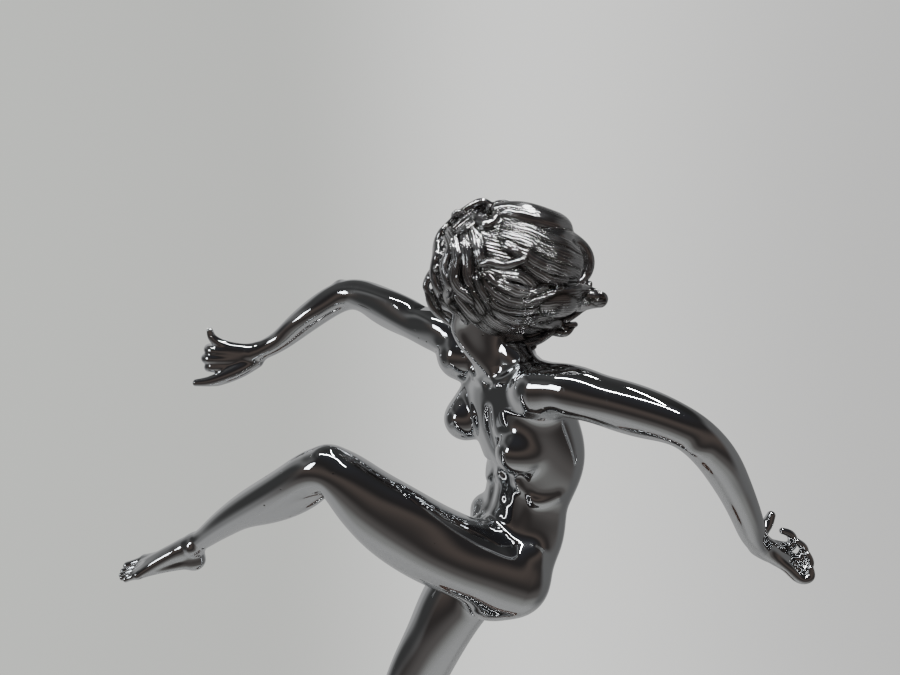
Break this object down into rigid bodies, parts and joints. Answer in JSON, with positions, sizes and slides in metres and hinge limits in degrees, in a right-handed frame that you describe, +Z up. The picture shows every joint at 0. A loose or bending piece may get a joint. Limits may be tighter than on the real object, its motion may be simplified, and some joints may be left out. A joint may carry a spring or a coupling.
{
  "type": "hood ornament",
  "caption": "Chrome-plated leaping female figure with wind-blown hair, a car mascot cast in sections, standing on a domed cap and bolted to a turned wooden display plinth.",
  "frame": {"origin": "middle of the plinth, on the surface that its rubber feet stand on", "axes": "+Z up, -X the way the figure leaps, -Y towards the figure's left side"},
  "size_m": [0.1838, 0.112, 0.3389],
  "materials": {
    "plated_figure": "mirror-polished chrome plate over cast brass, a few pin-prick pits and hairline scratches",
    "plated_hair": "chrome plate over finely engraved strands, darker in the grooves",
    "plated_cap": "mirror-polished chrome plate",
    "brass_pin": "plain drawn rod, brazed in",
    "zinc_steel": "bright zinc plate",
    "gasket_rubber": "matte black",
    "foot_rubber": "matte black",
    "plinth_wood": "dark stained hardwood, turned, satin lacquer"
  },
  "bodies": {
    "mascot_and_stand": {"torso_casting": "plated_figure", "head_casting": "plated_figure", "left_arm_casting": "plated_figure", "right_arm_casting": "plated_figure", "left_leg_casting": "plated_figure", "right_leg_casting": "plated_figure", "hair_casting": "plated_hair", "neck_pin": "brass_pin", "hair_pin": "brass_pin", "left_shoulder_pin": "brass_pin", "right_shoulder_pin": "brass_pin", "left_hip_pin": "brass_pin", "right_hip_pin": "brass_pin", "foot_pin": "brass_pin", "cap_casting": "plated_cap", "cap_gasket": "gasket_rubber", "mounting_stud": "zinc_steel", "turn_stop_pin": "zinc_steel", "plinth": "plinth_wood", "rubber_foot_1": "foot_rubber", "rubber_foot_2": "foot_rubber", "rubber_foot_3": "foot_rubber", "rubber_foot_4": "foot_rubber", "foot_screw_1": "zinc_steel", "foot_screw_2": "zinc_steel", "foot_screw_3": "zinc_steel", "foot_screw_4": "zinc_steel"},
    "washers": {"plain_washer": "zinc_steel", "spring_washer": "zinc_steel"},
    "nut": {"hex_nut": "zinc_steel"}
  },
  "joints": [
    {"name": "nut_travel", "type": "slide", "parent": "mascot_and_stand", "child": "washers", "axis": [0, 0, -1], "range_m": [0, 0.006]},
    {"name": "nut_turn", "type": "hinge", "parent": "washers", "child": "nut", "pos_m": [0, 0, 0.019], "axis": [0, 0, -1], "range_deg": [0, 1730]}
  ],
  "couplings": [
    {"joint": "nut_turn", "follows": "nut_travel", "rad_per_m": 5026.5}
  ]
}
